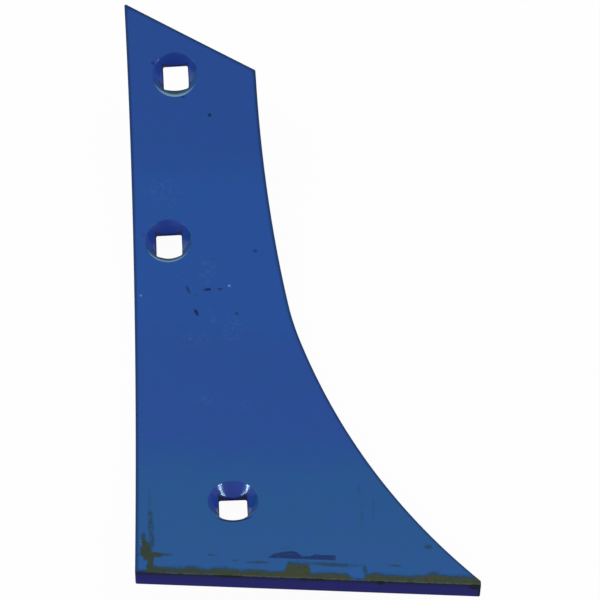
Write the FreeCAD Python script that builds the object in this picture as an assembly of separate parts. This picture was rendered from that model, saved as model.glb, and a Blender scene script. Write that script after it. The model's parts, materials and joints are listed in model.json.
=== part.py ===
import FreeCAD, Part
import math
import os

# Plough shin, right hand: one steel wear plate, cut as a flat blank, punched and
# countersunk for three square-necked plough bolts, then rolled to the mouldboard's curve.
# It lies on its round back with the hollow working face up, where it balances.
# Lengths are millimetres and angles are degrees.
# On the blank, "across" runs along the share edge, which is also the direction of the
# roll's axis, and "up" runs from the share edge to the top along the hollow face.

# Plate
plate_thickness = 8.0
hollow_radius = 380.0

# Outline of the blank: a straight share edge, a straight landside edge that leans back,
# a slanted top, and an edge towards the mouldboard of two arcs that meet at a knee
share_edge = 158.5
landside_edge = 336.0
landside_lean = 5.4
top_angle = 59.3
top_edge = 80.0
tip_height = 3.0
knee_across = 66.3
knee_up = 157.7
upper_arc_radius = 920.0
lower_arc_radius = 500.0
knee_blend_radius = 165.0

# Edges of the plate, rounded by rolling and paint
edge_rounding = 0.8

# Square holes for the plough bolts, each placed by its distance in from the landside
# edge and its distance along that edge from the share corner, or, for the top hole, down
# from the top corner
square_side = 13.5
square_corner = 1.0
head_diameter = 24.4
head_angle = 72.0
lip_rounding = 0.4
top_hole_in = 25.5
top_hole_down = 41.0
middle_hole_in = 18.5
middle_hole_along = 201.0
lower_hole_in = 46.5
lower_hole_along = 43.5

# How far a cutting tool runs past the face that it starts or ends at
tool_margin = 3.0

# Points taken along an arc when it is wrapped round the roll
arc_points = 9

# Two faces that meet at less than this angle are one smooth surface
smooth_turn = 5.0

# How closely the plate's two faces are built
build_tolerance = 0.0001


def on_blank(across, up):
    return FreeCAD.Vector(across, up, 0)


def from_landside(distance_in, distance_along):
    """Place on the blank, given from the landside edge."""
    lean = math.radians(landside_lean)
    across = distance_in * math.cos(lean) - distance_along * math.sin(lean)
    up = distance_in * math.sin(lean) + distance_along * math.cos(lean)
    return on_blank(across, up)


def circle_centre(start, end, radius):
    """Centre of the circle through both points, on the right of the way from start to end."""
    chord = end - start
    middle = (start + end) / 2
    offset = math.sqrt(radius ** 2 - (chord.Length / 2) ** 2)
    right = FreeCAD.Vector(chord.y, -chord.x, 0).normalize()
    return middle + right * offset


def arc_about(centre, start, end):
    radius = (start - centre).Length
    halfway = (start + end) / 2 - centre
    middle = centre + halfway.normalize() * radius
    return Part.Arc(start, middle, end).toShape()


def knee_arcs(tip, top):
    """The edge towards the mouldboard: lower arc, knee blend and upper arc."""
    knee = on_blank(knee_across, knee_up)
    lower = circle_centre(tip, knee, lower_arc_radius)
    upper = circle_centre(knee, top, upper_arc_radius)
    # The blend circle touches both arcs from inside, so its centre is where two circles
    # about their centres meet
    reach_lower = lower_arc_radius - knee_blend_radius
    reach_upper = upper_arc_radius - knee_blend_radius
    between = upper - lower
    span = between.Length
    towards = between / span
    shift = (reach_lower ** 2 - reach_upper ** 2 + span ** 2) / (2 * span)
    height = math.sqrt(reach_lower ** 2 - shift ** 2)
    side = FreeCAD.Vector(-towards.y, towards.x, 0)
    candidates = [lower + towards * shift + side * sign * height for sign in (1, -1)]
    blend = min(candidates, key=lambda centre: (centre - knee).Length)
    lower_end = lower + (blend - lower).normalize() * lower_arc_radius
    upper_start = upper + (blend - upper).normalize() * upper_arc_radius
    return [
        arc_about(lower, tip, lower_end),
        arc_about(blend, lower_end, upper_start),
        arc_about(upper, upper_start, top),
    ]


def blank_edges():
    """Outline of the flat blank, as edges in order."""
    share_corner = on_blank(0, 0)
    tip_low = on_blank(share_edge, 0)
    tip_high = on_blank(share_edge, tip_height)
    top_left = from_landside(0, landside_edge)
    slant = math.radians(90 - landside_lean - top_angle)
    top_right = top_left + on_blank(math.cos(slant), -math.sin(slant)) * top_edge
    return [
        Part.makeLine(share_corner, tip_low),
        Part.makeLine(tip_low, tip_high),
        *knee_arcs(tip_high, top_right),
        Part.makeLine(top_right, top_left),
        Part.makeLine(top_left, share_corner),
    ]


def wrap(edge, surface):
    """Wrap an edge of the blank round the roll. It keeps its length on the hollow face."""
    points = edge.discretize(Number=arc_points)
    places = [FreeCAD.Base.Vector2d(p.y / hollow_radius, p.x) for p in points]
    if isinstance(edge.Curve, Part.Line):
        return Part.Geom2d.Line2dSegment(places[0], places[-1]).toShape(surface)
    curve = Part.Geom2d.BSplineCurve2d()
    curve.interpolate(places)
    return curve.toShape(surface)


def rolled_plate():
    """The plate before its holes. Its sides stand square to the hollow face."""
    back = Part.Cylinder()
    back.Radius = hollow_radius + plate_thickness
    outline = Part.Wire([wrap(edge, back) for edge in blank_edges()])
    back_face = Part.Face(back, outline)
    plate = back_face.makeOffsetShape(-plate_thickness, build_tolerance, fill=True)
    return plate.makeFillet(edge_rounding, sharp_edges(plate))


def sharp_edges(solid):
    """The edges where two faces meet at an angle, without those along a smooth blend."""
    return [edge for edge in solid.Edges if turn_at(solid, edge) > smooth_turn]


def turn_at(solid, edge):
    place = edge.valueAt((edge.FirstParameter + edge.LastParameter) / 2)
    normals = []
    for face in solid.ancestorsOfType(edge, Part.Face):
        normals.append(face.normalAt(*face.Surface.parameter(place)))
    return math.degrees(normals[0].getAngle(normals[1]))


def square_punch():
    """Cuts the square that holds the bolt's neck. Its top face is at the hollow face."""
    depth = plate_thickness + 2 * tool_margin
    corner = FreeCAD.Vector(-square_side / 2, -square_side / 2, tool_margin - depth)
    punch = Part.makeBox(square_side, square_side, depth, corner)
    upright = [edge for edge in punch.Edges if abs(edge.tangentAt(0).z) > 0.5]
    return punch.makeFillet(square_corner, upright)


def head_cutter():
    """Cuts the cone that the bolt's head sinks into, flush with the hollow face."""
    slope = math.tan(math.radians(head_angle / 2))
    lowest = -head_diameter / 2 / slope
    radius_above = head_diameter / 2 + tool_margin * slope
    return Part.makeCone(0, radius_above, tool_margin - lowest, FreeCAD.Vector(0, 0, lowest))


def bolt_hole_tool(place):
    """Both cutters of a hole, turned to line up with the landside edge and stood on the
    rolled plate square to its hollow face."""
    tool = square_punch().fuse(head_cutter())
    tool.rotate(FreeCAD.Vector(), FreeCAD.Vector(0, 0, 1), landside_lean)
    angle = place.y / hollow_radius
    outward = FreeCAD.Vector(math.cos(angle), math.sin(angle), 0)
    along_roll = FreeCAD.Vector(0, 0, 1)
    seat = outward * hollow_radius + along_roll * place.x
    turn = FreeCAD.Rotation(along_roll, along_roll.cross(outward), -outward, "ZXY")
    tool.Placement = FreeCAD.Placement(seat, turn) * tool.Placement
    return tool


def bolt_places():
    return {
        "top_hole": from_landside(top_hole_in, landside_edge - top_hole_down),
        "middle_hole": from_landside(middle_hole_in, middle_hole_along),
        "lower_hole": from_landside(lower_hole_in, lower_hole_along),
    }


def punched_plate():
    tools = [bolt_hole_tool(place) for place in bolt_places().values()]
    plate = rolled_plate().cut(tools).Solids[0]
    # Only the round lips of the three cones are closed edges
    lips = [edge for edge in plate.Edges if edge.isClosed()]
    return plate.makeFillet(lip_rounding, lips).Solids[0]


def resting_placement(plate):
    """Lays the rolled plate on its round back, along X, turned until it balances there.
    The origin goes under the middle of its box, on the ground."""
    down = FreeCAD.Vector(0, 0, -1)
    along_roll = FreeCAD.Vector(1, 0, 0)
    laid = FreeCAD.Rotation(down, FreeCAD.Vector(0, 1, 0), along_roll, "ZXY")
    weight = laid.multVec(plate.CenterOfMass)
    balance = FreeCAD.Rotation(along_roll, -math.degrees(math.atan2(weight.y, -weight.z)))
    turn = balance * laid
    turned = plate.copy()
    turned.Placement = FreeCAD.Placement(FreeCAD.Vector(), turn)
    box = turned.optimalBoundingBox()
    lift = hollow_radius + plate_thickness
    return FreeCAD.Placement(FreeCAD.Vector(-box.Center.x, -box.Center.y, lift), turn)


def main():
    plate = punched_plate()
    plate.Placement = resting_placement(plate)
    os.makedirs("parts", exist_ok=True)
    plate.exportStep("parts/plough_shin.step")
    print("plough_shin volume", round(plate.Volume), "mm3")


main()
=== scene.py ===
import bpy
import bmesh
import json
import math
import numpy as np
from mathutils import Matrix, Vector
from mathutils.geometry import delaunay_2d_cdt
from types import SimpleNamespace


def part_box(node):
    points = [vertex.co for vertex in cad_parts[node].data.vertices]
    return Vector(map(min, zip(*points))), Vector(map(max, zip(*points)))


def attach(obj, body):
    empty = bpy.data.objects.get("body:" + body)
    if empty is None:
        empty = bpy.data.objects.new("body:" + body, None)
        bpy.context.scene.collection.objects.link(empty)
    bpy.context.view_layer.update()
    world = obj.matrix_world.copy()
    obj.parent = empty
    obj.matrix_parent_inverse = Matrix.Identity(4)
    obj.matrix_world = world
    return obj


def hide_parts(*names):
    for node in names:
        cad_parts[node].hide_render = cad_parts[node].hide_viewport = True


# A plough shin: one rolled steel plate in blue enamel, worn along its share edge.
# Scene lengths are metres. Places on the plate are millimetres on its flat blank:
# across from the share corner, up from the share edge, and height above the hollow face.

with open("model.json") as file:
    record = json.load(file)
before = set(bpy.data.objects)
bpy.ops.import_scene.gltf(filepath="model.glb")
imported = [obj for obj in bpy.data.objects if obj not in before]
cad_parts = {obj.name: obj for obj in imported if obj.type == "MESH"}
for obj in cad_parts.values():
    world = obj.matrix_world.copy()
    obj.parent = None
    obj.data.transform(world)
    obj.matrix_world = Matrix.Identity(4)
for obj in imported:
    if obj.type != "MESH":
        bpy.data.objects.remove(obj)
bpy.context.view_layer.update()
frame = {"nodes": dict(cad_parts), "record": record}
scene = bpy.context.scene
print("stage: frame loaded")


# Small helpers for node trees

def addNode(tree, kind, inputs=None, **settings):
    node = tree.nodes.new(kind)
    for name, value in settings.items():
        setattr(node, name, value)
    for socket, value in (inputs or {}).items():
        if isinstance(value, bpy.types.NodeSocket):
            tree.links.new(value, node.inputs[socket])
        else:
            node.inputs[socket].default_value = value
    return node


def calc(tree, operation, a, b=0.0, c=0.0):
    return addNode(tree, "ShaderNodeMath", {0: a, 1: b, 2: c}, operation=operation).outputs[0]


def chain(tree, operation, first, *others):
    for other in others:
        first = calc(tree, operation, first, other)
    return first


def product(tree, *values):
    return chain(tree, "MULTIPLY", *values)


def greatest(tree, *values):
    return chain(tree, "MAXIMUM", *values)


def opposite(tree, mask):
    return calc(tree, "SUBTRACT", 1.0, mask)


def combine(tree, x, y, z):
    return addNode(tree, "ShaderNodeCombineXYZ", {0: x, 1: y, 2: z}).outputs[0]


def noise(tree, place, scale, detail=3.0, roughness=0.5, output="Fac"):
    inputs = {"Vector": place, "Scale": scale, "Detail": detail, "Roughness": roughness}
    return addNode(tree, "ShaderNodeTexNoise", inputs).outputs[output]


def ramp(tree, value, low, high, lowResult=0.0, highResult=1.0):
    # A smooth step from lowResult at low to highResult at high
    inputs = {"Value": value, "From Min": low, "From Max": high,
              "To Min": lowResult, "To Max": highResult}
    node = addNode(tree, "ShaderNodeMapRange", inputs, interpolation_type="SMOOTHSTEP")
    return node.outputs[0]


def mixColour(tree, mask, under, over):
    node = addNode(tree, "ShaderNodeMix", {0: mask, 6: under, 7: over}, data_type="RGBA")
    return node.outputs[2]


def screenColour(red, green, blue):
    # Screen values of 0 to 255 as the linear colour that a shader takes
    def linear(level):
        level = level / 255
        return level / 12.92 if level <= 0.04045 else ((level + 0.055) / 1.055) ** 2.4
    return (linear(red), linear(green), linear(blue), 1.0)


# The roll: where the flat blank lies in the row frame

def readRoll():
    mounts = {mount["name"]: mount for mount in frame["record"]["mounts"]}
    top, lower = mounts["top_bolt_hole"], mounts["lower_bolt_hole"]
    share = mounts["share_face"]
    # The axes of two bolt holes meet on the axis of the roll
    sides = np.array([top["axis"][1:], [-value for value in lower["axis"][1:]]]).T
    gap = np.array(lower["pos_m"][1:]) - np.array(top["pos_m"][1:])
    radius = float(np.linalg.solve(sides, gap)[0])
    axisY = top["pos_m"][1] + radius * top["axis"][1]
    axisZ = top["pos_m"][2] + radius * top["axis"][2]
    # The tip end of the share face is the furthest point in X
    lowest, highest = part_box("plough_shin")
    cornerX = 2 * share["pos_m"][0] - highest.x
    startAngle = math.atan2(share["pos_m"][1] - axisY, axisZ - share["pos_m"][2])
    return {
        "radius": radius * 1000,
        "thickness": (axisZ - lowest.z - radius) * 1000,
        "startAngle": startAngle,
        "origin": Vector((cornerX, axisY, axisZ)) * 1000,
    }


roll = readRoll()


def flatten(place):
    # Row frame in metres to the flat blank in millimetres
    x, y, z = Vector(place) * 1000 - roll["origin"]
    angle = math.atan2(y, -z) - roll["startAngle"]
    return Vector((x, angle * roll["radius"], roll["radius"] - math.hypot(y, z)))


boltHoles = [flatten(mount["pos_m"]) for mount in frame["record"]["mounts"]
             if mount["name"].endswith("bolt_hole")]
# The square holes line up with the landside edge, from the share corner to this one
topCorner = min((flatten(vert.co) for vert in frame["nodes"]["plough_shin"].data.vertices),
                key=lambda corner: corner.x)
squareTurn = math.atan2(-topCorner.x, topCorner.y)


# The plate: the CAD solid laid flat, its two broad faces meshed evenly, then rolled again

plateValues = {
    "stripWidth": 3.0,      # mm, widest facet along the sides and in the holes
    "gridSpacing": 2.0,     # mm between the points of a broad face
    "gridClearance": 1.1,   # mm between those points and the face's outline
    "holeReach": 14.0,      # mm from a hole's middle to the furthest edge that is part of it
    "sharpAngle": 30.0,     # degrees, edges past this stay sharp
    "rippleHeight": 0.05,   # mm that the paint film rises and falls
    "rippleSize": 26.0,     # mm from one swell to the next
}
heightTolerance = 0.002     # mm that a point of a broad face may lie off it


def flatShell():
    shell = bmesh.new()
    shell.from_mesh(frame["nodes"]["plough_shin"].data)
    bmesh.ops.remove_doubles(shell, verts=shell.verts, dist=1e-6)
    for vert in shell.verts:
        vert.co = flatten(vert.co)
    shell.normal_update()
    return shell


def onHeight(part, height):
    return all(abs(vert.co.z - height) < heightTolerance for vert in part.verts)


def dropBroadFaces(shell, heights):
    broad = [face for face in shell.faces
             if abs(face.normal.z) > 0.99 and any(onHeight(face, height) for height in heights)]
    bmesh.ops.delete(shell, geom=broad, context="FACES_ONLY")
    loose = [edge for edge in shell.edges if not edge.link_faces]
    bmesh.ops.delete(shell, geom=loose, context="EDGES")


def cutIntoStrips(shell, width):
    # Cuts across and up the blank, so that no facet bridges the roll's curve
    for axis in (0, 1):
        values = [vert.co[axis] for vert in shell.verts]
        for place in np.arange(min(values) + width / 2, max(values), width):
            point = Vector((0, 0, 0))
            point[axis] = place
            normal = Vector((0, 0, 0))
            normal[axis] = 1
            everything = shell.verts[:] + shell.edges[:] + shell.faces[:]
            bmesh.ops.bisect_plane(shell, geom=everything, plane_co=point, plane_no=normal,
                                   dist=1e-4)


def insideOutline(points, starts, ends):
    inside = np.zeros(len(points), bool)
    for (ax, ay), (bx, by) in zip(starts, ends):
        if ay == by:
            continue
        crossed = (ay > points[:, 1]) != (by > points[:, 1])
        inside ^= crossed & (points[:, 0] < ax + (points[:, 1] - ay) * (bx - ax) / (by - ay))
    return inside


def distanceToOutline(points, starts, ends):
    nearest = np.full(len(points), np.inf)
    for start, end in zip(starts, ends):
        along = end - start
        share = np.clip((points - start) @ along / (along @ along), 0, 1)
        apart = points - start - share[:, None] * along
        nearest = np.minimum(nearest, np.linalg.norm(apart, axis=1))
    return nearest


def gridInside(starts, ends, spacing, clearance):
    # Rows of points, each row shifted by half a step
    low, high = starts.min(0), starts.max(0)
    rows = np.arange(low[1], high[1], spacing * math.sqrt(0.75))
    points = np.array([
        (x, y) for number, y in enumerate(rows)
        for x in np.arange(low[0] + spacing / 2 * (number % 2), high[0], spacing)
    ])
    clear = distanceToOutline(points, starts, ends) > clearance
    return points[clear & insideOutline(points, starts, ends)]


def trianglesInside(triangles, walls):
    # Spreads in from the hull, and changes side at each wall
    sides = [[frozenset(pair) for pair in zip(triangle, triangle[1:] + triangle[:1])]
             for triangle in triangles]
    beside = {}
    for index, own in enumerate(sides):
        for side in own:
            beside.setdefault(side, []).append(index)
    inside = {}
    reached = [(found[0], side in walls) for side, found in beside.items() if len(found) == 1]
    while reached:
        index, isInside = reached.pop()
        if index in inside:
            continue
        inside[index] = isInside
        for side in sides[index]:
            reached += [(other, isInside ^ (side in walls)) for other in beside[side]]
    return [triangle for index, triangle in enumerate(triangles) if inside[index]]


def fillBroadFace(shell, height, values, facesUp):
    rim = [edge for edge in shell.edges if edge.is_boundary and onHeight(edge, height)]
    rimVerts = list({vert: None for edge in rim for vert in edge.verts})
    number = {vert: index for index, vert in enumerate(rimVerts)}
    pairs = [(number[edge.verts[0]], number[edge.verts[1]]) for edge in rim]
    outline = np.array([vert.co.xy for vert in rimVerts])
    starts = outline[[pair[0] for pair in pairs]]
    ends = outline[[pair[1] for pair in pairs]]
    grid = gridInside(starts, ends, values["gridSpacing"], values["gridClearance"])
    points = [Vector(point) for point in np.vstack([outline, grid])]
    places, edges, triangles, sources, edgeSources, _ = delaunay_2d_cdt(
        points, pairs, [], 0, 1e-6, True)
    corners = [
        rimVerts[min(source)] if min(source) < len(rimVerts) else shell.verts.new((*place, height))
        for place, source in zip(places, sources)
    ]
    walls = {frozenset(edge) for edge, source in zip(edges, edgeSources) if source}
    for triangle in trianglesInside([list(triangle) for triangle in triangles], walls):
        order = triangle if facesUp else triangle[::-1]
        face = shell.faces.new([corners[index] for index in order])
        face.smooth = True


def storeRimDistance(mesh, heights, holeReach):
    # How far in from the plate's edge each point of the broad faces lies; 0 on the sides
    places = np.array([vert.co for vert in mesh.vertices])
    onFace = np.isclose(places[:, 2], heights[0], atol=heightTolerance)
    sideFaces = [polygon for polygon in mesh.polygons if not onFace[list(polygon.vertices)].all()]
    rim = {pair for polygon in sideFaces for pair in polygon.edge_keys if onFace[list(pair)].all()}
    middles = {pair: places[list(pair)].mean(0)[:2] for pair in rim}
    outer = [pair for pair in rim
             if min(math.dist(middles[pair], hole.xy) for hole in boltHoles) > holeReach]
    starts = places[[pair[0] for pair in outer], :2]
    ends = places[[pair[1] for pair in outer], :2]
    distance = distanceToOutline(places[:, :2], starts, ends)
    broad = onFace | np.isclose(places[:, 2], heights[1], atol=heightTolerance)
    stored = mesh.attributes.new("fromRim", "FLOAT", "POINT")
    stored.data.foreach_set("value", np.where(broad, distance, 0.0).astype(np.float32))


def makeFlatBlank(values):
    hollowFace, backFace = 0, -roll["thickness"]
    shell = flatShell()
    dropBroadFaces(shell, (hollowFace, backFace))
    cutIntoStrips(shell, values["stripWidth"])
    fillBroadFace(shell, hollowFace, values, facesUp=True)
    fillBroadFace(shell, backFace, values, facesUp=False)
    bmesh.ops.triangulate(shell, faces=[face for face in shell.faces if len(face.verts) > 3])
    shell.normal_update()
    for edge in shell.edges:
        edge.smooth = edge.calc_face_angle(0) < math.radians(values["sharpAngle"])
    openEdges = sum(edge.is_boundary for edge in shell.edges)
    print("stage: flat blank meshed,", len(shell.faces), "triangles,", openEdges, "open edges")
    mesh = bpy.data.meshes.new("flatBlank")
    shell.to_mesh(mesh)
    shell.free()
    storeRimDistance(mesh, (hollowFace, backFace), values["holeReach"])
    return mesh


def rollTree():
    tree = bpy.data.node_groups.new("rollThePlate", "GeometryNodeTree")
    face = tree.interface
    face.new_socket("Geometry", in_out="INPUT", socket_type="NodeSocketGeometry")
    for name in ("Roll Radius", "Start Angle", "Thickness", "Ripple Height", "Ripple Size"):
        face.new_socket(name, in_out="INPUT", socket_type="NodeSocketFloat")
    face.new_socket("Roll Origin", in_out="INPUT", socket_type="NodeSocketVector")
    face.new_socket("Paint", in_out="INPUT", socket_type="NodeSocketMaterial")
    face.new_socket("Geometry", in_out="OUTPUT", socket_type="NodeSocketGeometry")
    given = tree.nodes.new("NodeGroupInput").outputs
    blank = tree.nodes.new("GeometryNodeInputPosition").outputs[0]
    kept = addNode(tree, "GeometryNodeStoreNamedAttribute",
                   {"Geometry": given["Geometry"], "Name": "blankPlace", "Value": blank},
                   data_type="FLOAT_VECTOR", domain="POINT")
    across, up, height = addNode(tree, "ShaderNodeSeparateXYZ", {0: blank}).outputs
    # The film sinks into both broad faces alike, so the plate keeps inside its box
    rippleScale = calc(tree, "DIVIDE", 1.0, given["Ripple Size"])
    swell = noise(tree, combine(tree, across, up, 0.0), rippleScale, detail=1.0)
    side = calc(tree, "MULTIPLY_ADD", calc(tree, "DIVIDE", height, given["Thickness"]), 2.0, 1.0)
    sink = calc(tree, "MULTIPLY", calc(tree, "MULTIPLY", swell, given["Ripple Height"]), side)
    angle = calc(tree, "ADD", calc(tree, "DIVIDE", up, given["Roll Radius"]), given["Start Angle"])
    radius = calc(tree, "SUBTRACT", given["Roll Radius"], calc(tree, "SUBTRACT", height, sink))
    forward = calc(tree, "MULTIPLY", radius, calc(tree, "SINE", angle))
    outward = calc(tree, "MULTIPLY", radius, calc(tree, "COSINE", angle))
    turned = combine(tree, across, forward, calc(tree, "MULTIPLY", outward, -1.0))
    placed = addNode(tree, "ShaderNodeVectorMath", {0: turned, 1: given["Roll Origin"]},
                     operation="ADD").outputs[0]
    metres = addNode(tree, "ShaderNodeVectorMath", {0: placed, "Scale": 0.001},
                     operation="SCALE").outputs[0]
    moved = addNode(tree, "GeometryNodeSetPosition",
                    {"Geometry": kept.outputs["Geometry"], "Position": metres})
    real = addNode(tree, "GeometryNodeRealizeInstances", {"Geometry": moved.outputs[0]})
    painted = addNode(tree, "GeometryNodeSetMaterial",
                      {"Geometry": real.outputs[0], "Material": given["Paint"]})
    addNode(tree, "NodeGroupOutput", {"Geometry": painted.outputs[0]})
    return tree


def setInputs(modifier, values):
    for item in modifier.node_group.interface.items_tree:
        if item.in_out == "INPUT" and item.name in values:
            modifier[item.identifier] = values[item.name]


def makePlate(paint, values):
    blank = bpy.data.objects.new("rolledPlate", makeFlatBlank(values))
    scene.collection.objects.link(blank)
    roller = blank.modifiers.new("roll", "NODES")
    roller.node_group = rollTree()
    setInputs(roller, {
        "Roll Radius": roll["radius"],
        "Start Angle": roll["startAngle"],
        "Thickness": roll["thickness"],
        "Roll Origin": roll["origin"],
        "Ripple Height": values["rippleHeight"],
        "Ripple Size": values["rippleSize"],
        "Paint": paint,
    })
    weighted = blank.modifiers.new("weightedNormals", "WEIGHTED_NORMAL")
    weighted.keep_sharp = True
    graph = bpy.context.evaluated_depsgraph_get()
    rolled = bpy.data.meshes.new_from_object(blank.evaluated_get(graph), depsgraph=graph,
                                             preserve_all_data_layers=True)
    blank.modifiers.clear()
    blank.data = rolled
    blank.data.name = "rolledPlate"
    return blank


# The paint, and what has worn and marked it

paintColours = {
    # The face's bands, from upper to lower, are painted reflection on the curved face
    "upper": (32, 77, 155),
    "middle": (30, 81, 160),
    "lower": (28, 87, 149),
    "fresh": (20, 88, 166),
    # Random violet mottle on the face, and painted shade on the far half of each cone
    "violet": (44, 74, 168),
    # Painted shade: a darker copy of the enamel for the sides, a darker violet one for the share
    # face, a dark line of painted reflection for the roundings, and the darkest, for painted shade
    # and shadow
    "side": (20, 52, 126),
    "share": (12, 16, 110),
    "edge": (0, 42, 86),
    "shadeDark": (0, 6, 40),
    # Painted light and shade in the cones: a lit near wall, painted shade in the square neck, a
    # pale painted reflection on the near lip and painted shade at its foot
    "litNearWall": (26, 76, 136),
    "neck": (8, 28, 88),
    "lipReflection": (120, 164, 186),
    "lipFootShade": (34, 60, 56),
    "smear": (0, 43, 102),
    "stain": (16, 60, 76),
    "soilRim": (8, 45, 41),
    "soil": (58, 67, 26),
    "soilBrown": (68, 60, 34),
    "steel": (84, 96, 108),
    "chip": (0, 30, 82),
    "speck": (110, 160, 210),
    "touchUp": (26, 90, 160),
    "pit": (0, 3, 16),
}

paintMarks = {
    # How far up the paint is worn off along the share edge: across, up
    "wornProfile": [
        (0, 0.0), (4.5, 0.3), (6.0, 3.9), (14, 4.0), (21, 3.7), (27, 4.7), (33, 3.2), (41, 5.0),
        (48, 3.6), (54, 4.3), (68.2, 3.4), (69.8, 9.6), (79.2, 9.8), (80.8, 2.8),
        (86, 4.1), (97.8, 3.7), (99, 1.0), (105, 0.9), (106.4, 3.8), (110, 4.7), (124, 3.7),
        (133, 4.8), (137, 6.6), (144, 4.8), (153, 5.0), (158, 4.8),
    ],
    # Top of the brush mark, whose foot is straight: across, up
    "smearProfile": [
        (60, 12.3), (63, 15.2), (66, 16.4), (71, 17.4), (73.5, 17.0), (76, 14.4), (80, 14.6),
        (82.5, 16.1), (84.5, 15.6), (91.5, 15.7), (92, 12.0),
    ],
    "smearFoot": 12.3,
    # Spots on the hollow face: across, up, half width, half height, turn in degrees
    "blotch": [
        (3.8, 13.8, 3.4, 5.6, 0), (5.6, 10.4, 3.2, 3.4, 0), (8.2, 11.4, 4.2, 2.2, 3),
        (6.5, 5.4, 1.9, 6.4, 0), (2.4, 18.6, 1.5, 3.0, 10),
    ],
    "stain": [
        (13.4, 11.9, 4.6, 1.2, -1), (0.4, 11.2, 1.6, 1.2, 0), (56.0, 9.2, 7.6, 1.2, 2),
        (91.0, 9.5, 16.0, 2.0, -1), (105.4, 6.4, 1.6, 5.4, 8), (34.5, 12.9, 2.8, 0.9, 0),
        (45.4, 9.9, 2.2, 0.8, 0), (119.3, 10.3, 4.4, 0.9, 2), (134.6, 23.1, 2.8, 2.2, 0),
    ],
    "drip": [
        (5.6, 21.0, 2.0, 7.5, 8), (4.6, 29.5, 2.0, 6.5, 8), (3.6, 36.5, 1.7, 4.6, 6),
        (1.9, 22.0, 1.6, 5.8, 8),
    ],
    "streak": [
        (102.0, 57.0, 1.3, 4.6, 0), (103.6, 42.0, 1.0, 13.0, 0), (109.0, 46.0, 0.9, 11.0, 0),
        (2.4, 46.0, 1.2, 12.0, 6), (23.0, 269.6, 1.3, 1.2, 0), (-13.8, 205.0, 2.0, 1.6, 0),
        (-7.5, 171.9, 1.6, 1.3, 0), (8.5, 182.0, 1.3, 1.3, 0), (16.0, 170.9, 1.6, 2.0, 0),
        (22.9, 191.6, 1.3, 2.2, 20), (68.0, 18.8, 5.0, 0.8, 8),
    ],
    "dot": [
        (-14.5, 302.1, 1.6, 1.5, 0), (2.8, 283.8, 1.7, 1.1, 0), (17.3, 274.3, 1.5, 1.5, 0),
        (11.5, 173.9, 3.8, 1.1, -63), (28.0, 175.0, 2.0, 1.1, 0), (45.0, 197.8, 1.9, 1.3, -10),
        (37.4, 160.7, 1.4, 1.3, 0), (16.6, 160.8, 3.6, 1.3, -62), (21.4, 174.3, 2.8, 1.2, 4),
    ],
    "chip": [
        (22.0, 174.4, 1.9, 1.0, 4), (16.8, 160.6, 2.4, 0.9, -62), (17.2, 274.3, 1.0, 1.0, 0),
    ],
    "speck": [
        (32.7, 177.0, 1.1, 1.1, 0), (-12.6, 169.5, 0.8, 0.8, 0), (1.2, 19.3, 1.0, 1.4, 0),
    ],
    "scuff": [
        (24.6, 158.8, 9.0, 3.0, -72), (-5.0, 230.0, 17.0, 15.0, 0), (20.7, 186.0, 8.0, 15.0, 0),
        (35.6, 151.0, 8.0, 14.0, 0), (17.1, 144.4, 12.0, 9.0, 0), (24.5, 108.7, 9.0, 7.0, 0),
        (44.6, 106.6, 5.0, 6.0, 0),
    ],
    "touchUp": [(101.6, 4.2, 5.2, 6.4, 0)],
    # Notches in the share face: across and depth below the hollow face, then as above
    "notch": [
        (43.0, 0.6, 9.0, 0.7, 0), (77.2, 0.8, 3.0, 0.9, 0), (83.0, 0.7, 6.0, 0.7, 0),
        (112.4, 0.9, 2.4, 1.7, 0), (156.4, 1.4, 4.8, 2.0, -6), (158.7, 4.0, 1.7, 7.0, 0),
    ],
}

# Millimetres at which a point starts to count as in a zone of the plate, and fully counts
surfaceZones = {
    "front": (0.45, 0.15),      # under the hollow face
    "underFace": (0.06, 0.3),   # under the hollow face, or over the back
    "nearRim": (1.4, -0.2),     # in from the plate's outline
    "nearFaces": (1.0, 0.7),    # from the nearer of the two broad faces
    "share": (0.7, 0.3),        # up from the share edge
    "neck": (7.5, 6.9),         # from a square hole's middle
}

# Circles about each bolt hole's middle: radius, shift across and up, softness of the rim
holeCircles = {
    "mouth": (12.9, (0, 0), 0.5),
    # From here on, the circles place painted shade, a painted reflection and a painted shadow in
    # and by the cones; the last only dulls the near half
    "shadedFarHalf": (12.0, (-2.5, 6.0), 5.0),
    "insideLip": (15.3, (0, 5.0), 2.0),
    "lipFootShade": (9.4, (0, 0), 0.5),
    "insideLipFoot": (12.4, (0, 6.2), 0.5),
    "lowRimShadow": (13.5, (0, 0), 0.5),
    "insideLowRim": (19.0, (-0.9, 6.7), 0.5),
    "insideRubbing": (12.0, (0, 7.0), 2.0),
}

# The marks in the order that they are laid on, from the faintest up: kind, colour, strength,
# how far into a spot it is full, and what breaks it up
markLayers = [
    ("touchUp", "touchUp", 0.90, 0.45, "whole"),
    ("streak", "stain", 0.35, 0.80, "patchy"),
    ("stain", "stain", 0.80, 0.60, "softly"),
    ("drip", "stain", 0.85, 0.55, "softly"),
    ("dot", "chip", 0.65, 0.65, "whole"),
    ("chip", "chip", 1.00, 0.45, "whole"),
    ("scuff", "speck", 0.10, 0.80, "speckled"),
    ("speck", "speck", 0.65, 0.60, "whole"),
]

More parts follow.
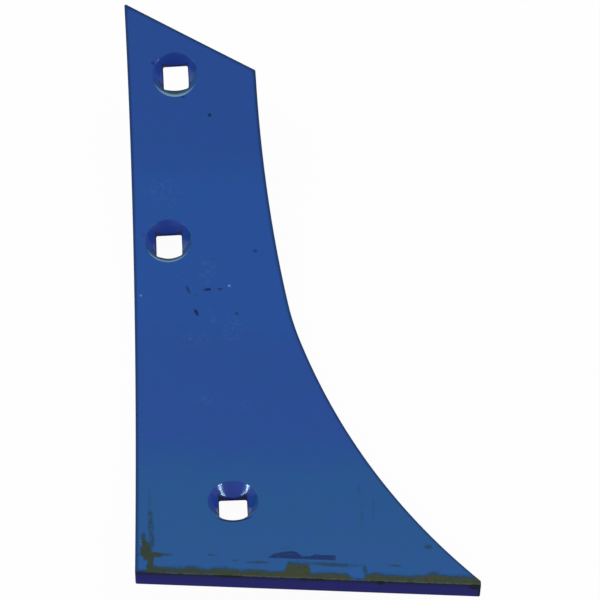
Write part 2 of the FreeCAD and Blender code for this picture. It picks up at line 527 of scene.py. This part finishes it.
paintFinish = {
    # Millimetres up the blank where a tone starts to come in, and where it is full
    "middleFromAbove": (270.0, 245.0),
    "middleFromBelow": (155.0, 175.0),
    "lowerFromAbove": (108.0, 72.0),
    "freshFromAbove": (16.0, 5.0),
    "toneDrift": 30.0,          # how far up these places wander
    "violetShare": 0.25,        # how much of a tone is mixed in at most
    "greenShare": 0.3,
    "freshShare": 0.3,
    "edgeShare": 0.75,
    "soilShare": 0.95,
    "steelShare": 0.4,
    "peelHeight": 0.012,        # mm, orange peel in the film
    "gritHeight": 0.12,         # mm, grit in the soil
    "filmHeight": 0.08,         # mm of film lost where it is worn
    "roughness": (0.16, 0.27),  # of the smoothest and the dullest enamel
    "wornRoughness": 0.5,       # added where the film is worn or thin
    "specular": 0.16,
}


def spots(tree, place, marks):
    # Ellipses: 1 in the middle, falling to 0 at the rim
    fades = []
    for across, up, length, width, turn in marks:
        inputs = {"Vector": place, "Location": (across, up, 0),
                  "Rotation": (0, 0, math.radians(turn)), "Scale": (length, width, 1)}
        inside = addNode(tree, "ShaderNodeMapping", inputs, vector_type="TEXTURE")
        fade = addNode(tree, "ShaderNodeTexGradient", {"Vector": inside.outputs[0]},
                       gradient_type="SPHERICAL")
        fades.append(fade.outputs["Fac"])
    return greatest(tree, *fades)


def circles(tree, place, name):
    # 1 inside the named circle of every bolt hole, where a spot twice its size passes half
    radius, shift, soft = holeCircles[name]
    doubled = [(hole.x + shift[0], hole.y + shift[1], 2 * radius, 2 * radius, 0)
               for hole in boltHoles]
    fade = soft / radius / 4
    return ramp(tree, spots(tree, place, doubled), 0.5 - fade, 0.5 + fade)


def crescents(tree, place, outer, inner):
    # What the outer circle holds and the inner one doesn't
    return calc(tree, "SUBTRACT", circles(tree, place, outer), circles(tree, place, inner))


def besideSquare(tree, place):
    # How far a place is from the nearest square hole's middle, measured square to its sides
    distances = []
    for hole in boltHoles:
        inputs = {"Vector": place, "Location": (hole.x, hole.y, 0), "Rotation": (0, 0, squareTurn)}
        turned = addNode(tree, "ShaderNodeMapping", inputs, vector_type="TEXTURE").outputs[0]
        sized = addNode(tree, "ShaderNodeVectorMath", {0: turned}, operation="ABSOLUTE").outputs[0]
        x, y, _ = addNode(tree, "ShaderNodeSeparateXYZ", {0: sized}).outputs
        distances.append(greatest(tree, x, y))
    return chain(tree, "MINIMUM", *distances)


def profileHeight(tree, across, profile):
    # The profile as a curve; the curve itself runs from 0 to 1 both ways
    first, last = profile[0][0], profile[-1][0]
    tallest = max(up for _, up in profile)
    share = calc(tree, "DIVIDE", calc(tree, "SUBTRACT", across, first), last - first)
    node = addNode(tree, "ShaderNodeFloatCurve", {"Value": share})
    curve = node.mapping.curves[0]
    for _ in profile[2:]:
        curve.points.new(0.5, 0.5)
    for point, (x, y) in zip(curve.points, profile):
        point.location = ((x - first) / (last - first), y / tallest)
        point.handle_type = "VECTOR"
    node.mapping.update()
    return calc(tree, "MULTIPLY", node.outputs[0], tallest)


def wander(tree, place, scale, amount, detail=3.0):
    # The same place, pushed about by up to half the amount, which makes an edge ragged
    push = noise(tree, place, scale, detail, output="Color")
    shift = addNode(tree, "ShaderNodeVectorMath",
                    {0: push, 1: (amount, amount, 0.0), 2: (-amount / 2, -amount / 2, 0.0)},
                    operation="MULTIPLY_ADD").outputs[0]
    return addNode(tree, "ShaderNodeVectorMath", {0: place, 1: shift}, operation="ADD").outputs[0]


def readSurface(tree):
    # Where on the plate a point lies: values in millimetres, and masks from 0 to 1
    blank = addNode(tree, "ShaderNodeAttribute", attribute_name="blankPlace").outputs["Vector"]
    across, up, height = addNode(tree, "ShaderNodeSeparateXYZ", {0: blank}).outputs
    depth = calc(tree, "MULTIPLY", height, -1.0)
    place = combine(tree, across, up, 0.0)
    aboveBack = calc(tree, "SUBTRACT", roll["thickness"], depth)
    underFace = ramp(tree, depth, *surfaceZones["underFace"])
    overBack = ramp(tree, aboveBack, *surfaceZones["underFace"])
    fromRim = addNode(tree, "ShaderNodeAttribute", attribute_name="fromRim").outputs["Fac"]
    nearRim = ramp(tree, fromRim, *surfaceZones["nearRim"])
    fromFaces = calc(tree, "MINIMUM", depth, aboveBack)
    nearFaces = ramp(tree, fromFaces, *surfaceZones["nearFaces"])
    inHole = circles(tree, place, "mouth")
    outside = opposite(tree, inHole)
    inCone = product(tree, inHole, underFace)
    nearSquare = ramp(tree, besideSquare(tree, place), *surfaceZones["neck"])
    return SimpleNamespace(
        blank=blank, across=across, up=up, depth=depth, place=place,
        onFront=ramp(tree, depth, *surfaceZones["front"]),
        underFace=underFace,
        onSide=product(tree, underFace, overBack, outside),
        onRounding=product(tree, nearRim, nearFaces, outside),
        onShare=ramp(tree, up, *surfaceZones["share"]),
        inCone=inCone,
        onNeck=product(tree, inCone, nearSquare),
    )


def wornPaint(tree, at, marks):
    # Worn to a soiled undercoat along the share edge and in a blotch by its corner
    ragged = wander(tree, at.place, 0.4, 4.4, detail=5.0)
    raggedUp = addNode(tree, "ShaderNodeSeparateXYZ", {0: ragged}).outputs[1]
    stripTop = profileHeight(tree, at.across, marks["wornProfile"])
    strip = ramp(tree, calc(tree, "SUBTRACT", raggedUp, stripTop), 2.1, -1.6)
    blotch = ramp(tree, spots(tree, ragged, marks["blotch"]), 0.0, 0.4)
    return product(tree, greatest(tree, strip, blotch), at.onFront)


def rubbedSteel(tree, at, finish):
    # The share edge itself, rubbed bare in patches
    onEdge = product(tree, ramp(tree, at.up, 1.1, 0.5), ramp(tree, at.depth, 0.6, 0.2))
    patches = ramp(tree, noise(tree, at.place, 0.5, 4.0), 0.35, 0.55)
    pastCorner = ramp(tree, at.across, 8.0, 16.0)
    return product(tree, onEdge, patches, pastCorner, finish["steelShare"])


def shareNotches(tree, at, marks):
    below = wander(tree, combine(tree, at.across, at.depth, 0.0), 0.9, 0.9)
    found = ramp(tree, spots(tree, below, marks["notch"]), 0.05, 0.3)
    return product(tree, found, ramp(tree, at.up, 1.5, 1.1), at.underFace)


def enamelTone(tree, at, colour, finish):
    # Royal blue, brighter across the middle and greener towards the share: these bands up the face
    # are painted reflection on the curved face, with random mottle laid over them
    drift = noise(tree, at.place, 0.014, 2.0)
    drift = calc(tree, "MULTIPLY_ADD", drift, finish["toneDrift"], at.up)
    fromAbove = ramp(tree, drift, *finish["middleFromAbove"])
    middle = product(tree, fromAbove, ramp(tree, drift, *finish["middleFromBelow"]))
    tone = mixColour(tree, middle, colour["upper"], colour["middle"])
    tone = mixColour(tree, ramp(tree, drift, *finish["lowerFromAbove"]), tone, colour["lower"])
    mottle = noise(tree, at.place, 0.09, 4.0, 0.6)
    violet = ramp(tree, mottle, 0.45, 0.75, 0.0, finish["violetShare"])
    tone = mixColour(tree, violet, tone, colour["violet"])
    green = ramp(tree, mottle, 0.48, 0.25, 0.0, finish["greenShare"])
    tone = mixColour(tree, green, tone, colour["lower"])
    fresh = ramp(tree, at.up, *finish["freshFromAbove"])
    fresh = product(tree, fresh, ramp(tree, mottle, 0.6, 0.4), finish["freshShare"])
    return mixColour(tree, fresh, tone, colour["fresh"])


def paintSides(tree, at, tone, colour, finish):
    # Painted shade: the sides take a darker copy of the enamel and the share face a darker violet
    # one; the roundings take a dark line of painted reflection, darkest on the share side; and the
    # share face darkens towards the hollow face, under its front edge
    shadedSideTone = mixColour(tree, at.onShare, colour["side"], colour["share"])
    tone = mixColour(tree, at.onSide, tone, shadedSideTone)
    shadedRoundingTone = mixColour(tree, at.onShare, colour["edge"], colour["shadeDark"])
    edge = product(tree, at.onRounding, finish["edgeShare"])
    tone = mixColour(tree, edge, tone, shadedRoundingTone)
    underEdge = ramp(tree, at.depth, 3.0, 0.6)
    shade = product(tree, at.onShare, at.onSide, underEdge, finish["edgeShare"])
    return mixColour(tree, shade, tone, colour["shadeDark"])


def paintCones(tree, at, tone, colour):
    # Painted light and shade in each cone: a lit near half and painted shade in the far half, a
    # pale painted reflection on the near lip with painted shade at its foot, painted shade in the
    # square neck, and a painted shadow by the lower hole's near rim
    farHalfShade = circles(tree, at.place, "shadedFarHalf")
    coneLightAndShade = mixColour(tree, farHalfShade, colour["litNearWall"], colour["violet"])
    tone = mixColour(tree, at.inCone, tone, coneLightAndShade)
    # A pale crescent of painted reflection on the near lip, fainter on the lower hole
    lipReflection = opposite(tree, circles(tree, at.place, "insideLip"))
    lipReflection = product(tree, lipReflection, at.inCone, ramp(tree, at.up, 70.0, 140.0, 0.3, 1.0))
    tone = mixColour(tree, lipReflection, tone, colour["lipReflection"])
    # A dark olive crescent of painted shade at the foot of the near wall
    lipFootShade = crescents(tree, at.place, "lipFootShade", "insideLipFoot")
    tone = mixColour(tree, product(tree, lipFootShade, at.inCone), tone, colour["lipFootShade"])
    # Painted shade in the square neck of each hole
    tone = mixColour(tree, at.onNeck, tone, colour["neck"])
    # A painted shadow along the near rim of the lower hole
    lowRimShadow = crescents(tree, at.place, "lowRimShadow", "insideLowRim")
    lowRimShadow = product(tree, lowRimShadow, ramp(tree, at.up, 80.0, 60.0, 0.0, 0.85))
    return mixColour(tree, lowRimShadow, tone, colour["shadeDark"])


def addSmear(tree, at, tone, colour, marks):
    # A brush mark of darker paint
    overFoot = ramp(tree, at.up, marks["smearFoot"] - 0.3, marks["smearFoot"] + 0.3)
    smearTop = profileHeight(tree, at.across, marks["smearProfile"])
    underTop = ramp(tree, calc(tree, "SUBTRACT", smearTop, at.up), 0.0, 0.5)
    thin = ramp(tree, noise(tree, at.place, 0.5, 3.0), 0.3, 0.5, 0.7, 1.0)
    return mixColour(tree, product(tree, overFoot, underTop, thin), tone, colour["smear"])


def addMarks(tree, at, tone, colour, marks):
    uneven = wander(tree, at.place, 1.1, 1.4)
    breaks = noise(tree, at.place, 0.35, 2.0)
    cover = {
        "whole": 1.0,
        "patchy": ramp(tree, breaks, 0.35, 0.55),
        "softly": ramp(tree, breaks, 0.35, 0.55, 0.4, 1.0),
        "speckled": ramp(tree, noise(tree, at.place, 0.45, 4.0, 0.75), 0.46, 0.68),
    }
    for kind, name, strength, full, broken in markLayers:
        mask = ramp(tree, spots(tree, uneven, marks[kind]), 0.05, full, 0.0, strength)
        tone = mixColour(tree, product(tree, mask, cover[broken], at.onFront), tone, colour[name])
    return tone


def addSoil(tree, at, worn, tone, colour, finish):
    # Brown soil on the worn strip, greener at its rim and towards the share corner
    tint = noise(tree, at.place, 0.35, 4.0, 0.6)
    soil = mixColour(tree, ramp(tree, tint, 0.50, 0.62), colour["soil"], colour["soilBrown"])
    green = greatest(
        tree,
        ramp(tree, worn, 1.0, 0.7),
        ramp(tree, tint, 0.46, 0.36, 0.0, 0.5),
        ramp(tree, at.across, 80.0, 10.0, 0.0, 0.45),
    )
    soil = mixColour(tree, product(tree, green, 0.85), soil, colour["soilRim"])
    return mixColour(tree, product(tree, worn, finish["soilShare"]), tone, soil)


def paintRoughness(tree, at, worn, notch, finish):
    # Smooth enamel, dull where it is worn and along the thin film of the roundings
    gloss = noise(tree, at.place, 0.05, 5.0, 0.6)
    gloss = ramp(tree, gloss, 0.35, 0.7, *finish["roughness"])
    gloss = product(tree, gloss, calc(tree, "MULTIPLY_ADD", at.inCone, -0.25, 1.0))
    rubbed = opposite(tree, circles(tree, at.place, "insideRubbing"))
    rubbed = product(tree, at.inCone, rubbed)
    dull = greatest(tree, worn, notch, at.onRounding, at.onNeck, rubbed)
    return calc(tree, "MULTIPLY_ADD", dull, finish["wornRoughness"], gloss)


def paintRelief(tree, at, worn, finish):
    # Heights in millimetres: orange peel, the film lost where it is worn, grit in the soil
    peel = noise(tree, at.blank, 0.8, 2.0)
    grit = calc(tree, "MULTIPLY", noise(tree, at.blank, 2.2, 4.0, 0.7), finish["gritHeight"])
    lost = product(tree, calc(tree, "SUBTRACT", grit, finish["filmHeight"]), worn)
    relief = calc(tree, "MULTIPLY_ADD", peel, finish["peelHeight"], lost)
    inputs = {"Height": relief, "Distance": 0.001, "Strength": 1.0}
    return addNode(tree, "ShaderNodeBump", inputs).outputs["Normal"]


def makePaint(colours, marks, finish):
    colour = {name: screenColour(*values) for name, values in colours.items()}
    material = bpy.data.materials.new("blueEnamel")
    material.use_nodes = True
    tree = material.node_tree
    tree.nodes.clear()
    at = readSurface(tree)
    worn = wornPaint(tree, at, marks)
    steel = rubbedSteel(tree, at, finish)
    notch = shareNotches(tree, at, marks)
    tone = enamelTone(tree, at, colour, finish)
    tone = paintSides(tree, at, tone, colour, finish)
    tone = paintCones(tree, at, tone, colour)
    tone = addSmear(tree, at, tone, colour, marks)
    tone = addMarks(tree, at, tone, colour, marks)
    tone = addSoil(tree, at, worn, tone, colour, finish)
    tone = mixColour(tree, steel, tone, colour["steel"])
    tone = mixColour(tree, notch, tone, colour["pit"])
    shader = addNode(tree, "ShaderNodeBsdfPrincipled", {
        "Base Color": tone,
        "Roughness": paintRoughness(tree, at, worn, notch, finish),
        "Metallic": steel,
        "Normal": paintRelief(tree, at, worn, finish),
        "Specular IOR Level": finish["specular"],
    })
    addNode(tree, "ShaderNodeOutputMaterial", {"Surface": shader.outputs[0]})
    return material


paint = makePaint(paintColours, paintMarks, paintFinish)
plate = makePlate(paint, plateValues)
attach(plate, "root")
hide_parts("plough_shin")
print("stage: plate rolled and painted,", len(plate.data.polygons), "faces")


# Floor, light and camera

studio = {
    "floorSize": 8.0,
    "floorShade": 0.95,
    "floorGlow": 0.96,       # how much of the floor's white doesn't take a shadow
    "skyLight": 0.62,
    # name, direction, distance, size, power, tint, and whether it only shows as a highlight
    "lamps": [
        ("keyLeft", (-0.75, 0.35, 0.85), 1.6, 0.9, 5.5, (1, 1, 1), False),
        ("keyRight", (0.60, 0.45, 0.85), 1.6, 0.9, 2.5, (1, 1, 1), False),
        ("glintLeft", (-0.771, -0.505, 0.385), 1.2, 0.24, 12.0, (0.60, 0.90, 1), True),
        ("glintRight", (0.771, -0.505, 0.385), 1.2, 0.24, 12.0, (0.60, 0.90, 1), True),
    ],
}


def seenWhite(tree):
    # 1 for rays that see the background: from the camera, in a reflection or through glass
    path = tree.nodes.new("ShaderNodeLightPath").outputs
    seen = calc(tree, "MAXIMUM", path["Is Camera Ray"], path["Is Glossy Ray"])
    return calc(tree, "MAXIMUM", seen, path["Is Transmission Ray"])


def makeFloor(values):
    material = bpy.data.materials.new("paleFloor")
    material.use_nodes = True
    tree = material.node_tree
    tree.nodes.clear()
    shade = (values["floorShade"],) * 3 + (1.0,)
    diffuse = addNode(tree, "ShaderNodeBsdfDiffuse", {"Color": shade})
    glow = addNode(tree, "ShaderNodeEmission", {"Color": (1, 1, 1, 1), "Strength": 1.0})
    share = calc(tree, "MULTIPLY", seenWhite(tree), values["floorGlow"])
    mixed = addNode(tree, "ShaderNodeMixShader",
                    {0: share, 1: diffuse.outputs[0], 2: glow.outputs[0]})
    addNode(tree, "ShaderNodeOutputMaterial", {"Surface": mixed.outputs[0]})
    mesh = bpy.data.meshes.new("floor")
    half = values["floorSize"] / 2
    mesh.from_pydata([(-half, -half, 0), (half, -half, 0), (half, half, 0), (-half, half, 0)],
                     [], [(0, 1, 2, 3)])
    mesh.materials.append(material)
    floor = bpy.data.objects.new("floor", mesh)
    scene.collection.objects.link(floor)


def makeSky(values):
    world = bpy.data.worlds.new("studio")
    world.use_nodes = True
    tree = world.node_tree
    tree.nodes.clear()
    soft = addNode(tree, "ShaderNodeBackground", {"Strength": values["skyLight"]})
    white = addNode(tree, "ShaderNodeBackground", {"Strength": 1.0})
    for node in (soft, white):
        node.inputs["Color"].default_value = (1, 1, 1, 1)
    mixed = addNode(tree, "ShaderNodeMixShader",
                    {0: seenWhite(tree), 1: soft.outputs[0], 2: white.outputs[0]})
    addNode(tree, "ShaderNodeOutputWorld", {"Surface": mixed.outputs[0]})
    scene.world = world


def makeLamp(name, direction, distance, size, power, tint, highlightOnly):
    data = bpy.data.lights.new(name, "AREA")
    data.shape = "SQUARE"
    data.size = size
    data.energy = power
    data.color = tint
    lamp = bpy.data.objects.new(name, data)
    towards = Vector(direction).normalized()
    lamp.location = towards * distance
    lamp.rotation_mode = "QUATERNION"
    lamp.rotation_quaternion = towards.to_track_quat("Z", "Y")
    lamp.visible_diffuse = not highlightOnly
    scene.collection.objects.link(lamp)


def makeLights(values):
    for lamp in values["lamps"]:
        makeLamp(*lamp)


cameraView = {
    "azimuth": 1.42,
    "elevation": 56.08,
    "tilt": 0.84,
    "distance": 0.966,
    "target": (0.0063, -0.0011, 0.020),
    "lens": 113.8,
}


def makeCamera(values):
    azimuth = math.radians(values["azimuth"])
    elevation = math.radians(values["elevation"])
    tilt = math.radians(values["tilt"])
    level = Vector((math.sin(azimuth), -math.cos(azimuth), 0))
    back = level * math.cos(elevation) + Vector((0, 0, math.sin(elevation)))
    right = Vector((math.cos(azimuth), math.sin(azimuth), 0))
    up = back.cross(right)
    turnedRight = right * math.cos(tilt) + up * math.sin(tilt)
    turnedUp = up * math.cos(tilt) - right * math.sin(tilt)
    turn = Matrix((turnedRight, turnedUp, back)).transposed().to_4x4()
    place = Vector(values["target"]) + back * values["distance"]
    data = bpy.data.cameras.new("camera")
    data.lens = values["lens"]
    camera = bpy.data.objects.new("camera", data)
    camera.matrix_world = Matrix.Translation(place) @ turn
    scene.collection.objects.link(camera)
    scene.camera = camera


makeFloor(studio)
makeSky(studio)
makeLights(studio)
makeCamera(cameraView)
scene.view_settings.view_transform = "Standard"
print("stage: floor, light and camera set")
